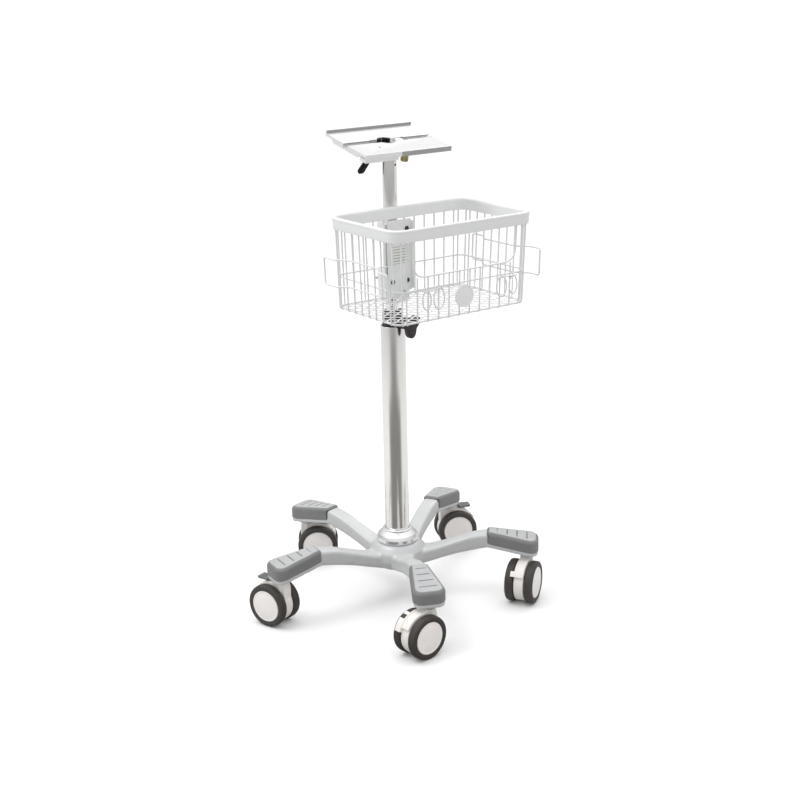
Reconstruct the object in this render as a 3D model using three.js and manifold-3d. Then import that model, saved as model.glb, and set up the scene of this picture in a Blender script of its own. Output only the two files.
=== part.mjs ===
// Mobile roll stand for a portable ultrasound unit: five-leg base on twin-wheel casters, a
// telescoping column with a clamp knob, a tapered wire basket and a tilting, swivelling docking
// platform. Millimetres, +Z up, floor at z = 0, basket towards -Y.
import * as THREE from 'three';
import { mergeVertices } from 'three/addons/utils/BufferGeometryUtils.js';
import Module from 'manifold-3d';

const wasm = await Module();
wasm.setup();
const { Manifold } = wasm;

// driving dimensions
const GAP = 0.3;                       // clearance between neighbouring pieces
const pole = { x: 7.6, y: -6.8 };          // column axis in the stand's frame

const legs = { count: 5, first: -113, knee: 200, tip: 316, barW: 38, padIn: 40, padOut: 76 };
const pad = { z: 122, thick: 10.7, slope: -0.14 };
const cover = { wall: 2.5, height: 27, grooves: 4 };
const hub = { r: 64, z0: 76, z1: 134 };
const caster = { r: 47.5, swivelR: 290, trail: 25, housing: 11.5, wheelW: 19.5, stemR: 6, hoodR: 52 };
const casterYaw = [-84, -57, -113, -123, -161];   // axle heading of each caster
const casterSide = [-1, -1, 1, 1, -1];            // which side of the axle heading it trails to
const braked = [false, false, true, true, true];
const hooded = [true, false, false, false, false];  // a windowed hood over one wheel

const tube = { lowR: 27, lowIn: 24.5, lowZ0: 90.3, lowZ1: 630, upR: 15, upIn: 12.5, upZ0: 400, upZ1: 983 };
const clamp = { r: 28.5, z1: 664, knobZ: 637, heading: -80 };

const basket = {
  x: 3, yBack: -24, hx: 166, hy: 112, cornerR: 36, taper: 6, wire: 3, hoop: 2.4,
  z0: 700, ring: 765, uZ: 790, uHalf: 125, rimZ0: 862, rimZ1: 887, rimOut: 7, rimT: 11,
};
const cleat = { z0: 752, z1: 807, out: 22 };
const deck = { w: 214, d: 150, t: 5, tilt: 13, z: 1022, lip: 7, slot: 15, channel: 9.5 };
const pivot = { z: 1001, r: 4 };
const plunger = { x: 46, r: 4, knobR: 8 };
const peg = { x: 26, r: 9 };

// geometry helpers
const toSolid = (geometry) => {
  const bare = new THREE.BufferGeometry();
  const src = geometry.index ? geometry.toNonIndexed() : geometry;
  bare.setAttribute('position', src.getAttribute('position').clone());
  const g = mergeVertices(bare, 1e-4);
  return new Manifold(new wasm.Mesh({
    numProp: 3,
    vertProperties: new Float32Array(g.getAttribute('position').array),
    triVerts: new Uint32Array(g.index.array),
  }));
};
const box = (x0, x1, y0, y1, z0, z1) => {
  const g = new THREE.BoxGeometry(x1 - x0, y1 - y0, z1 - z0);
  g.translate((x0 + x1) / 2, (y0 + y1) / 2, (z0 + z1) / 2);
  return toSolid(g);
};
// closed profile of [radius, z] turned about Z
const turned = (profile, segments = 28) => {
  const pts = profile.map(([r, z]) => new THREE.Vector2(r, z));
  if (profile[0][0] > 0) pts.push(pts[0].clone());
  const g = new THREE.LatheGeometry(pts, segments);
  g.rotateX(Math.PI / 2);
  const m = toSolid(g);
  return m.volume() < 0 ? flipped(g) : m;
};
const flipped = (g) => {
  const index = g.index.array;
  for (let i = 0; i < index.length; i += 3) {
    const keep = index[i];
    index[i] = index[i + 1];
    index[i + 1] = keep;
  }
  return toSolid(g);
};
const rod = (r, z0, z1, segments = 20) => turned([[0, z0], [r, z0], [r, z1], [0, z1]], segments);
// flat outline of [x, y] pulled up along Z
const plate = (outline, z0, z1, bevel = 0) => {
  const shape = new THREE.Shape(outline.map(([x, y]) => new THREE.Vector2(x, y)));
  const g = new THREE.ExtrudeGeometry(shape, {
    depth: z1 - z0 - 2 * bevel, bevelEnabled: bevel > 0, bevelThickness: bevel,
    bevelSize: bevel, bevelOffset: -bevel, bevelSegments: 1, curveSegments: 6,
  });
  g.translate(0, 0, z0 + bevel);
  return toSolid(g);
};
// outline with its corners rounded by radius r
const rounded = (corners, r, steps = 3) => {
  const out = [];
  corners.forEach((c, i) => {
    const radius = Array.isArray(r) ? r[i] : r;
    const p = new THREE.Vector2(...corners[(i + corners.length - 1) % corners.length]);
    const n = new THREE.Vector2(...corners[(i + 1) % corners.length]);
    const v = new THREE.Vector2(...c);
    const a = p.sub(v).normalize();
    const b = n.sub(v).normalize();
    const half = Math.acos(THREE.MathUtils.clamp(a.dot(b), -1, 1)) / 2;
    const reach = radius / Math.tan(half);
    const start = v.clone().addScaledVector(a, reach);
    const end = v.clone().addScaledVector(b, reach);
    if (radius <= 0) { out.push([v.x, v.y]); return; }
    for (let k = 0; k <= steps; k++) {
      const t = k / steps;
      const s = (1 - t) * (1 - t);
      const m = 2 * t * (1 - t);
      out.push([s * start.x + m * v.x + t * t * end.x, s * start.y + m * v.y + t * t * end.y]);
    }
  });
  return out;
};
// square-section wire along a list of points
const wire = (points, d, closed = false) => {
  const list = closed ? [...points, points[0]] : points;
  const pieces = [];
  for (let i = 0; i + 1 < list.length; i++) {
    const a = new THREE.Vector3(...list[i]);
    const b = new THREE.Vector3(...list[i + 1]);
    const dir = b.clone().sub(a);
    const len = dir.length();
    const inner0 = closed || i > 0 ? d / 2 : 0;
    const inner1 = closed || i + 2 < list.length ? d / 2 : 0;
    const g = new THREE.BoxGeometry(d, d, len + inner0 + inner1);
    g.translate(0, 0, (inner1 - inner0) / 2);
    const turn = new THREE.Matrix4();
    const up = Math.abs(dir.z) / len > 0.9 ? new THREE.Vector3(0, 1, 0) : new THREE.Vector3(0, 0, 1);
    turn.lookAt(b, a, up);
    g.applyMatrix4(turn);
    const mid = a.add(b).multiplyScalar(0.5);
    g.translate(mid.x, mid.y, mid.z);
    pieces.push(toSolid(g));
  }
  return pieces;
};
const all = (list) => Manifold.union(list);
const polar = (r, deg) => [r * Math.cos(THREE.MathUtils.degToRad(deg)), r * Math.sin(THREE.MathUtils.degToRad(deg))];
// slide the top of a solid down along x by the pad's slope
const sheared = (m, k, x0) => m.warp((v) => { v[2] += k * (v[0] - x0); });

const finish = {
  casting: [0xc4c6c7, 0.9, 0.35], tubeSteel: [0xb9bbba, 1.0, 0.3], chrome: [0xd8d9d8, 1.0, 0.12],
  greyPlastic: [0x85898c, 0.0, 0.5], darkPlastic: [0x35373a, 0.0, 0.45], black: [0x18181a, 0.0, 0.5],
  whitePlastic: [0xe4e1dc, 0.0, 0.4], rim: [0xc9cccc, 0.0, 0.45], wireCoat: [0xd4d6d5, 0.2, 0.4],
  tyre: [0x3a3836, 0.0, 0.7], steel: [0x9a9c9e, 1.0, 0.3], aluminium: [0xd3d5d6, 0.9, 0.3],
  brass: [0xc9a353, 1.0, 0.25], label: [0xb8bbb8, 0.0, 0.6],
};
const group = new THREE.Group();
group.name = 'ultrasound_roll_stand';
const add = (name, solid, kind) => {
  const m = solid.translate([pole.x, pole.y, 0]).getMesh();
  const g = new THREE.BufferGeometry();
  g.setAttribute('position', new THREE.BufferAttribute(new Float32Array(m.vertProperties), 3));
  g.setIndex(new THREE.BufferAttribute(new Uint32Array(m.triVerts), 1));
  g.computeVertexNormals();
  const [color, metalness, roughness] = finish[kind];
  const piece = new THREE.Mesh(g, new THREE.MeshStandardMaterial({ color, metalness, roughness }));
  piece.name = name;
  group.add(piece);
};

// base casting: hub, five rising legs and the sloping pads under the leg covers
const padOutline = (inset) => rounded([
  [legs.knee + inset, -legs.padIn / 2 + inset], [legs.tip - inset, -legs.padOut / 2 + inset],
  [legs.tip - inset, legs.padOut / 2 - inset], [legs.knee + inset, legs.padIn / 2 - inset],
], [6, 16, 16, 6]);
const legSide = [
  [30, 78], [70, 86], [130, 104], [188, 119], [204, 121.5], [204, 153.5], [190, 155], [160, 148],
  [120, 135], [80, 120], [30, 112],
];
const legBar = plate(legSide, -legs.barW / 2, legs.barW / 2, 2.5).rotate([90, 0, 0]);
const padPlate = sheared(plate(padOutline(0), pad.z, pad.z + pad.thick), pad.slope, legs.knee);
const ridge = sheared(box(legs.knee, legs.tip - 14, -13, 13, pad.z + 6, pad.z + 27), pad.slope, legs.knee);
const stemHole = rod(caster.stemR + GAP, 90, 130, 14).translate([caster.swivelR, 0, 0]);
const oneLeg = all([legBar, padPlate, ridge]).subtract(stemHole);
const legAngle = (i) => legs.first + (360 / legs.count) * i;
const hubBody = turned([
  [0, hub.z0], [48, hub.z0], [58, hub.z0 + 6], [hub.r, hub.z0 + 20], [hub.r - 2, hub.z1 - 18],
  [hub.r - 12, hub.z1 - 4], [hub.r - 20, hub.z1], [0, hub.z1],
], 20);
const legList = Array.from({ length: legs.count }, (_, i) => oneLeg.rotate([0, 0, legAngle(i)]));
const seat = rod(tube.lowR + GAP, tube.lowZ0 - GAP, hub.z1 + 10, 28);
add('base_spider', all([hubBody, ...legList]).subtract(seat), 'casting');

// hollow leg covers with four cross grooves
const coverZ = pad.z + pad.thick + GAP;
const coverOut = plate(padOutline(0), coverZ - 4, coverZ + cover.height, 4)
  .subtract(box(150, 350, -60, 60, coverZ - 10, coverZ));
const coverIn = plate(padOutline(cover.wall), coverZ - 1, coverZ + cover.height - 3);
const grooveAt = (k) => {
  const x = legs.knee + 24 + k * 22;
  return box(x - 1.5, x + 1.5, -13 - 2.6 * k, 13 + 2.6 * k, coverZ + cover.height - 1.6, coverZ + 40);
};
const coverNotch = box(legs.knee - 1, legs.knee + 4 + GAP, -legs.padIn, legs.padIn, coverZ - 2, coverZ + 21.8);
const grooves = Array.from({ length: cover.grooves }, (_, k) => grooveAt(k));
const oneCover = sheared(coverOut.subtract(all([coverIn, coverNotch, ...grooves])), pad.slope, legs.knee);
for (let i = 0; i < legs.count; i++) {
  add(`leg_cover_${i + 1}`, oneCover.rotate([0, 0, legAngle(i)]), 'greyPlastic');
}

// column foot ring, outer tube, guide bush and clamp collar
const foot = hub.z1 + GAP;
add('base_collar', turned([
  [tube.lowR + GAP, foot], [45.5, foot], [45.5, foot + 9], [41, foot + 20], [33, foot + 29],
  [tube.lowR + GAP, foot + 31],
]), 'chrome');
add('lower_column', turned([
  [tube.lowIn, tube.lowZ0], [tube.lowR, tube.lowZ0], [tube.lowR, tube.lowZ1], [tube.lowIn, tube.lowZ1],
], 32), 'tubeSteel');
add('column_bush', turned([
  [tube.upR + GAP, 590], [tube.lowIn - GAP, 590], [tube.lowIn - GAP, tube.lowZ1 - 1],
  [tube.upR + GAP, tube.lowZ1 - 1],
], 28), 'darkPlastic');
const collarRing = turned([
  [tube.upR + GAP, tube.lowZ1 + GAP], [clamp.r - 1, tube.lowZ1 + GAP], [clamp.r, tube.lowZ1 + 1.5],
  [clamp.r, clamp.z1 - 5], [clamp.r - 4, clamp.z1], [tube.upR + GAP, clamp.z1],
], 24);
const radial = (m) => m.rotate([0, 90, 0]).translate([0, 0, clamp.knobZ]).rotate([0, 0, clamp.heading]);
const boss = radial(rod(11, 18, 38)).subtract(rod(tube.lowR + GAP, 600, tube.lowZ1 + GAP, 32));
const studHole = radial(rod(4 + GAP, 10, 40, 14));
add('clamp_collar', collarRing.add(boss).subtract(studHole)
  .subtract(rod(tube.upR + GAP, tube.lowZ1 - 5, clamp.z1 + 5, 24)), 'darkPlastic');

// three-lobed height knob with its clamping stud
const lobes = Array.from({ length: 30 }, (_, k) => {
  const a = (k / 30) * 360;
  return polar(22 + 6 * Math.cos(THREE.MathUtils.degToRad(3 * a)), a);
});
const knobHead = all([plate(lobes, 45, 61, 3), rod(10, 38 + GAP, 48), rod(4, tube.upR + GAP + 0.2, 44, 14)]);
add('height_knob', radial(knobHead), 'darkPlastic');

// inner column with its end plug
const pinHole = rod(2.6, -20, 0, 12).rotate([90, 0, 0]).translate([0, -20, 972]).rotate([0, 0, 20]);
add('upper_column', turned([
  [tube.upIn, tube.upZ0], [tube.upR, tube.upZ0], [tube.upR, tube.upZ1], [tube.upIn, tube.upZ1],
], 28).subtract(pinHole), 'tubeSteel');
add('column_plug', turned([
  [0, tube.upZ0 - 12], [tube.lowIn - GAP, tube.upZ0 - 12], [tube.lowIn - GAP, tube.upZ0 + 16],
  [tube.upR + GAP, tube.upZ0 + 16], [tube.upR + GAP, tube.upZ0 - GAP], [0, tube.upZ0 - GAP],
], 28), 'darkPlastic');

// basket bracket: a split clamp on the column behind the wires, a plate in front of them
const blockY = basket.yBack + basket.wire / 2 + 0.7;
const clampBlock = [[-30, blockY], [30, blockY], [30, 8], [13, 30], [-13, 30], [-30, 8]];
const clampBody = plate(clampBlock, 684, 852)
  .subtract(rod(tube.upR + GAP, 600, 900, 24))
  .subtract(box(-2, 2, 0, 40, 600, 900))
  .subtract(box(-40, 40, -12, 40, 748, 820));
const boltZ = [732, 836];
const boltHoles = boltZ.map((z) => rod(3 + GAP, -30, 30, 12).rotate([0, 90, 0]).translate([0, 24, z]));
const screwAt = [[20, 840], [-18, 730], [20, 730], [-18, 692]];
const screwHoles = screwAt.map(([x, z]) => rod(2.5 + GAP, -1, 13, 12).rotate([90, 0, 0])
  .translate([x, -10, z]));
add('column_clamp', clampBody.subtract(all([...boltHoles, ...screwHoles])), 'aluminium');
boltZ.forEach((z, i) => {
  const shank = rod(3, -24, 22, 12);
  const head = rod(5.2, 22, 27, 6);
  add(`clamp_bolt_${i + 1}`, shank.add(head).rotate([0, 90, 0]).translate([0, 24, z]), 'steel');
});
const frontY = basket.yBack - 2;
const bracketOutline = rounded([
  [-36, 712], [-28, 684], [8, 684], [8, 708], [36, 708], [36, 860], [-36, 860],
], [3, 3, 3, 2, 4, 4, 4], 3);
const bracketHoles = screwAt.map(([x, z]) => rod(2.5 + GAP, 0, 9, 12).rotate([90, 0, 0])
  .translate([x, frontY + 2, z]));
const bracketPlate = plate(bracketOutline, 0, 3).rotate([90, 0, 0]).translate([0, frontY, 0]);
const flange = box(33, 36, frontY - 12, frontY - 1, 712, 856);
add('basket_bracket', bracketPlate.add(flange).subtract(all(bracketHoles)), 'wireCoat');
screwAt.forEach(([x, z], i) => {
  const screw = rod(2.5, -10, 1, 12).add(turned([[0, 0], [5, 0], [4.4, 2], [2.5, 3], [0, 3]], 14));
  add(`bracket_screw_${i + 1}`, screw.rotate([90, 0, 0])
    .translate([x, frontY - 3 - GAP, z]), 'darkPlastic');
});
add('label_plate', box(-24, 24, frontY - 4.3, frontY - 3.3, 768, 804), 'label');

// basket wall path: t runs once round the rounded rectangle, one unit per side with its half corners
const wallPoint = (side, u, z) => {
  const drop = (basket.rimZ0 - z) / (basket.rimZ0 - basket.z0);
  const k = basket.taper * drop;
  const hx = basket.hx - k;
  const hy = basket.hy - k / 2;
  const r = basket.cornerR - k / 2;
  const cy = basket.yBack - basket.hy + k / 2;
  const along = side % 2 === 0 ? hx - r : hy - r;
  const depth = side % 2 === 0 ? hy : hx;
  let p;
  if (Math.abs(u) <= 1) {
    p = [u * along, -depth];
  } else {
    const a = THREE.MathUtils.degToRad((Math.abs(u) - 1) * 45);
    p = [Math.sign(u) * (along + r * Math.sin(a)), -depth + r * (1 - Math.cos(a))];
  }
  const turn = [[1, 0, 0, 1], [0, -1, 1, 0], [-1, 0, 0, -1], [0, 1, -1, 0]][side];
  return [basket.x + turn[0] * p[0] + turn[1] * p[1], cy + turn[2] * p[0] + turn[3] * p[1], z];
};
const hoop = (side, z) => [-1.97, -1.5, -1, 1, 1.5, 1.97].map((u) => wallPoint(side, u, z));
const postFoot = basket.z0 - 1.6;
const wallTop = basket.rimZ0 - GAP;
const sideWires = (side, count, skip) => {
  const posts = [];
  for (let k = 0; k < count; k++) posts.push(-1 + (2 * k) / (count - 1));
  posts.push(-1.55, 1.55);
  return posts.filter((u) => !skip || !skip(u))
    .flatMap((u) => wire([wallPoint(side, u, postFoot), wallPoint(side, u, wallTop)], basket.wire));
};
const straight = basket.hx - basket.cornerR;
const inU = (u) => Math.abs(u) < basket.uHalf / straight;
const uPoint = (dx, z) => wallPoint(0, dx / straight, z);
const uWire = wire([
  uPoint(-basket.uHalf, wallTop), uPoint(-basket.uHalf, basket.uZ + 26), uPoint(-basket.uHalf + 8, basket.uZ + 9),
  uPoint(-basket.uHalf + 26, basket.uZ), uPoint(basket.uHalf - 26, basket.uZ),
  uPoint(basket.uHalf - 8, basket.uZ + 9), uPoint(basket.uHalf, basket.uZ + 26), uPoint(basket.uHalf, wallTop),
], basket.wire);
const shortPosts = [];
for (let k = 0; k < 11; k++) {
  const u = -1 + (2 * k) / 10;
  if (inU(u)) shortPosts.push(...wire([wallPoint(0, u, postFoot), wallPoint(0, u, basket.uZ + 0.9)], basket.wire));
}
const rings = (side) => [basket.z0, basket.ring].flatMap((z) => wire(hoop(side, z), basket.hoop));
add('basket_front', all([...sideWires(0, 11, inU), ...shortPosts, ...uWire, ...rings(0)]), 'wireCoat');
add('basket_right', all([...sideWires(1, 8), ...rings(1)]), 'wireCoat');
add('basket_back', all([...sideWires(2, 11), ...rings(2)]), 'wireCoat');
add('basket_left', all([...sideWires(3, 8), ...rings(3)]), 'wireCoat');

// basket floor: expanded sheet with staggered diamond openings
const floorHx = basket.hx - basket.taper - 2;
const floorHy = basket.hy - basket.taper / 2 - 2;
const floorCy = basket.yBack - basket.hy + basket.taper / 2;
const floorPlan = (inset) => rounded([
  [-floorHx + inset, -floorHy + inset], [floorHx - inset, -floorHy + inset],
  [floorHx - inset, floorHy - inset], [-floorHx + inset, floorHy - inset],
], 40, 3);
const diamonds = [];
for (let j = 0; j < 9; j++) {
  for (let i = 0; i < 9 - (j % 2); i++) {
    const cx = (i - 4 + (j % 2) / 2) * 33;
    const cy = (j - 4) * 22;
    diamonds.push(plate([[cx - 14, cy], [cx, cy - 8], [cx + 14, cy], [cx, cy + 8]], -5, 5));
  }
}
add('basket_floor', plate(floorPlan(0), -1.2, 1.2).subtract(all(diamonds))
  .translate([basket.x, floorCy, basket.z0])
  .subtract(box(-39, 39, -38, -10, 690, 710)), 'wireCoat');

// rim band around the top of the basket
const rimPlan = (inset) => {
  const hx = basket.hx + basket.rimOut - inset;
  const hy = basket.hy + basket.rimOut - inset;
  return rounded([[-hx, -hy], [hx, -hy], [hx, hy], [-hx, hy]], basket.cornerR + basket.rimOut - inset, 6);
};
add('basket_rim', plate(rimPlan(0), basket.rimZ0, basket.rimZ1, 1.5)
  .subtract(plate(rimPlan(basket.rimT), basket.rimZ0 - 5, basket.rimZ1 + 5))
  .translate([basket.x, basket.yBack - basket.hy, 0]), 'rim');

// cable cleats: closed wire frames whose ends stand off the short walls
const cleatFrame = (s) => {
  const plan = [[cleat.out, -30], [cleat.out, -66], [2, -92], [2, -196], [cleat.out, -218], [cleat.out, -250]];
  const wall = (z) => basket.hx - (basket.taper * (basket.rimZ0 - z)) / (basket.rimZ0 - basket.z0) + 2.4;
  const at = (z) => plan.map(([o, y]) => [basket.x + s * (wall(z) + o), y, z]);
  return all(wire([...at(cleat.z1), ...at(cleat.z0).reverse()], basket.wire, true));
};
add('cleat_left', cleatFrame(-1), 'wireCoat');
add('cleat_right', cleatFrame(1), 'wireCoat');

// plain round badge and paired cable loops low on the front wall
const frontFace = (z) => wallPoint(0, 0, z)[1];
add('front_badge', turned([[0, 0], [23, 0], [23, 3], [21, 5], [0, 5.5]], 28).rotate([90, 0, 0])
  .translate([basket.x - 2, frontFace(738) - 2.5, 738]), 'rim');
const oval = (cx, rx, rz) => Array.from({ length: 12 }, (_, k) => {
  const [px, py] = polar(1, k * 30);
  return [cx + rx * px, rz * py];
});
const loops = (s) => {
  const rings = [[94, 14, 22], [124, 11, 20]].map(([cx, rx, rz]) => plate(oval(cx, rx, rz), 0, 2.6)
    .subtract(plate(oval(cx, rx - 2.6, rz - 2.6), -1, 4)));
  const link = box(84, 134, 18, 20.6, 0, 2.6);
  return all([...rings, link]).rotate([90, 0, s > 0 ? 0 : 180])
    .translate([basket.x + (s > 0 ? 0 : 30), frontFace(742) - (s > 0 ? 2.6 : 5.2), 742]);
};
add('cable_loop_left', loops(-1), 'wireCoat');
add('cable_loop_right', loops(1), 'wireCoat');

// head: swivel collar on the column, tilt yoke and its pin
const across = (m) => m.rotate([0, 90, 0]).translate([0, 0, pivot.z]);
add('swivel_collar', turned([
  [0, 945], [tube.upIn - GAP, 945], [tube.upIn - GAP, tube.upZ1 + GAP], [18.5, tube.upZ1 + GAP],
  [18.5, 991], [17, 992], [0, 992],
]), 'black');
const earOutline = rounded([[-7, -9], [7, -9], [7, 7], [-7, 7]], [0, 0, 6.5, 6.5], 4);
const ear = (x) => plate(earOutline, x - 3, x + 3).rotate([90, 0, 90]).translate([0, 0, pivot.z]);
add('tilt_yoke', all([box(-17, 17, -11, 11, 992 + GAP, 995), ear(-14), ear(14)])
  .subtract(across(rod(pivot.r + GAP, -40, 40, 16))), 'steel');
add('tilt_pin', across(rod(pivot.r, -43, 19, 16).add(rod(6.2, 17 + GAP, 21, 16))), 'steel');

// docking platform: extruded section with back and front lips and a central slot
const section = [
  [-75, 2], [-75, -9], [-71.5, -9], [-71.5, -5], [-52, -5], [-44, -12], [44, -12], [52, -5], [75, -5],
  [75, deck.lip], [71, deck.lip], [71, 0], [deck.slot / 2, 0], [deck.slot / 2, -2.5],
  [deck.channel, -2.5], [deck.channel, -7.5], [-deck.channel, -7.5], [-deck.channel, -2.5],
  [-deck.slot / 2, -2.5], [-deck.slot / 2, 0], [-71.5, 0], [-71.5, 2],
];
const tiltRad = THREE.MathUtils.degToRad(deck.tilt);
const onDeck = (m) => m.rotate([deck.tilt, 0, 0]).translate([0, 0, deck.z]);
const slab = plate(section, -deck.w / 2, deck.w / 2).rotate([90, 0, 90]);
const pivotDrop = -(deck.z - pivot.z) * Math.cos(tiltRad);
const pivotBack = -(deck.z - pivot.z) * Math.sin(tiltRad);
const pinBore = rod(pivot.r + GAP, -30, 30, 16).rotate([0, 90, 0]).translate([0, pivotBack, pivotDrop]);
const lug = box(-10.5, 10.5, pivotBack - 5.6, pivotBack + 5.6, pivotDrop, -11)
  .add(rod(5.6, -10.5, 10.5, 20).rotate([0, 90, 0]).translate([0, pivotBack, pivotDrop]));
const pocket = box(-42, 42, -deck.channel, deck.channel, -7.5, 3);
const recess = rod(20, -10, 3, 28).translate([-6, 0, 0]);
const plungerHole = rod(plunger.r + GAP, -30, 5, 14).translate([plunger.x, 0, 0]);
const screwHole = rod(2.5 + GAP, -20, 5, 12).translate([-46, -34, 0]);
const pegSolid = rod(peg.r, -9, -0.5, 24).translate([peg.x, 0, 0]);
add('docking_platform', onDeck(slab.subtract(all([pocket, recess])).add(all([lug, pegSolid]))
  .subtract(all([pinBore, plungerHole, screwHole]))), 'aluminium');
add('platform_screw', onDeck(rod(2.5, -13, -1, 12).add(rod(4.5, -15.5, -12 - GAP, 14))
  .translate([-46, -34, 0])), 'darkPlastic');

// clamping lever on the end of the tilt pin
const leverHub = rod(7.5, -48, -33, 20).subtract(rod(pivot.r + GAP, -43 - GAP, -30, 16));
const leverArm = box(-47, -31.5, -4.2, 4.2, -70, -6.5).rotate([46.7, 0, 0]);
add('tilt_lever', leverHub.rotate([0, 90, 0]).add(leverArm).translate([0, 0, pivot.z]), 'black');

// spring plunger under the platform
add('plunger_sleeve', onDeck(turned([
  [plunger.r + GAP, -31], [6.5, -31], [6.5, -12 - GAP], [plunger.r + GAP, -12 - GAP],
], 20).translate([plunger.x, 0, 0])), 'brass');
add('plunger', onDeck(turned([
  [0, -50], [7, -50], [plunger.knobR, -49], [plunger.knobR, -36], [6.5, -34], [plunger.r, -34],
  [plunger.r, -7.5], [3, -6.5], [0, -6.5],
], 20).translate([plunger.x, 0, 0])), 'brass');

// casters: hooded fork, two wheels and, on three of them, a brake pedal
const sideways = (m) => m.rotate([-90, 0, 0]).translate([caster.trail, 0, caster.r]);
const above = box(-60, 100, -40, 40, 68, 130);
const hoodRing = sideways(rod(caster.hoodR, -24, -9, 28).subtract(rod(caster.hoodR - 2.5, -30, 30, 28)));
const window = (deg, w) => box(40, 60, -26, -13, -w / 2, w / 2).rotate([0, -deg, 0])
  .translate([caster.trail, 0, caster.r]);
const hood = hoodRing.intersect(box(-60, 100, -40, 40, 64, 130)).subtract(all([window(58, 10), window(89, 28)]));
const fork = all([
  sideways(rod(43.5, -caster.housing, caster.housing, 16)),
  sideways(rod(50, -caster.housing, caster.housing, 20)).intersect(above),
  sideways(rod(5, -24, 24, 12)),
  rod(11.5, 76, 106, 16), rod(caster.stemR, 100, 129, 14),
]);
const wheelIn = caster.housing + 1;
const wheel = turned([
  [0, 13], [5 + GAP, 13], [5 + GAP, 0], [43.5, 0], [caster.r, 4], [caster.r, caster.wheelW - 4],
  [43.5, caster.wheelW], [34.5, caster.wheelW - 1], [0, caster.wheelW],
], 20).translate([0, 0, wheelIn]);
const pedalPivot = { x: 34, z: 101.8 };
const pedal = rod(2.1, -12, 12, 12).rotate([90, 0, 0])
  .add(box(0, 27, -12, 12, -1.6, 1.8)).rotate([0, -2, 0]).translate([pedalPivot.x, 0, pedalPivot.z]);
for (let i = 0; i < legs.count; i++) {
  const [sx, sy] = polar(caster.swivelR, legAngle(i));
  const place = (m) => m.rotate([0, 0, casterYaw[i] + 90 * casterSide[i]]).translate([sx, sy, 0]);
  add(`caster_${i + 1}_fork`, place(hooded[i] ? fork.add(hood) : fork), 'whitePlastic');
  add(`caster_${i + 1}_wheel_a`, place(sideways(wheel)), 'tyre');
  add(`caster_${i + 1}_wheel_b`, place(sideways(wheel.rotate([180, 0, 0]))), 'tyre');
  if (braked[i]) add(`caster_${i + 1}_pedal`, place(pedal), 'greyPlastic');
}
export default group;
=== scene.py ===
"""Looks of the five-leg roll stand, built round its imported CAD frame.

Shapes are made in millimetres from the column axis (+Z up, floor at 0, basket towards -Y) and
turned into metres in the frame when they become pieces.
"""

import math

import bmesh
import bpy
from mathutils import Matrix, Vector


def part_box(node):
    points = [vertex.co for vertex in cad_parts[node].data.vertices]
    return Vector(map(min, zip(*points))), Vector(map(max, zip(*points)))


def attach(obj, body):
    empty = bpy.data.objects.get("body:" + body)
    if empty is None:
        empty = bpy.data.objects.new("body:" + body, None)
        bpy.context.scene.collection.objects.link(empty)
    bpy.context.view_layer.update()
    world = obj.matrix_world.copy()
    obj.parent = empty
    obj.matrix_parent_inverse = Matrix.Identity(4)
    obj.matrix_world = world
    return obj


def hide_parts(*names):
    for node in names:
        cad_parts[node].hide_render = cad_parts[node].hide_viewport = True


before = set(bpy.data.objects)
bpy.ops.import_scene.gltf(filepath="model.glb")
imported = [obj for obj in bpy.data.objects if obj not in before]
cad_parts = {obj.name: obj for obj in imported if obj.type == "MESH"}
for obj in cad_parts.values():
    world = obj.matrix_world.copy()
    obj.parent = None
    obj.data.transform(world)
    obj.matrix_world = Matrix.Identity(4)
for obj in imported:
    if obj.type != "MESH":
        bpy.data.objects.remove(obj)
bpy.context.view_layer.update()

MM = 0.001
low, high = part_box("lower_column")
POLE = Vector(((low.x + high.x) / 2, (low.y + high.y) / 2, 0.0))


# ---------------------------------------------------------------- shapes
class Shape:
    """Points in millimetres from the column axis, and the faces between them."""

    def __init__(self, verts=(), faces=()):
        self.verts = [Vector(v) for v in verts]
        self.faces = [tuple(f) for f in faces]

    def __add__(self, other):
        n = len(self.verts)
        return Shape(self.verts + other.verts,
                     self.faces + [tuple(i + n for i in f) for f in other.faces])

    def moved(self, *matrices):
        """The shape after the matrices, the last one first."""
        m = Matrix.Identity(4)
        for matrix in matrices:
            m = m @ matrix
        return Shape([m @ v for v in self.verts], self.faces)

    def warped(self, rule):
        return Shape([rule(v) for v in self.verts], self.faces)


def turn(axis, degrees):
    return Matrix.Rotation(math.radians(degrees), 4, axis)


def shift(x=0.0, y=0.0, z=0.0):
    return Matrix.Translation((x, y, z))


def polar(radius, degrees):
    return radius * math.cos(math.radians(degrees)), radius * math.sin(math.radians(degrees))


def rounded(points, radius, steps=5, closed=True):
    """The line with each corner turned by an arc; radius is one number, or one for each corner."""
    pts = [Vector(p) for p in points]
    out = []
    for i, v in enumerate(pts):
        r = radius[i] if isinstance(radius, (list, tuple)) else radius
        if r <= 0 or (not closed and i in (0, len(pts) - 1)):
            out.append(v)
            continue
        a = (pts[i - 1] - v).normalized()
        b = (pts[(i + 1) % len(pts)] - v).normalized()
        half = a.angle(b) / 2
        sweep = math.pi - 2 * half
        if sweep < 0.02:
            out.append(v)
            continue
        centre = v + (a + b).normalized() * (r / math.sin(half))
        start = v + a * (r / math.tan(half)) - centre
        end = v + b * (r / math.tan(half)) - centre
        for k in range(steps + 1):
            t = k / steps
            swing = start * math.sin((1 - t) * sweep) + end * math.sin(t * sweep)
            out.append(centre + swing / math.sin(sweep))
    return out


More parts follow.
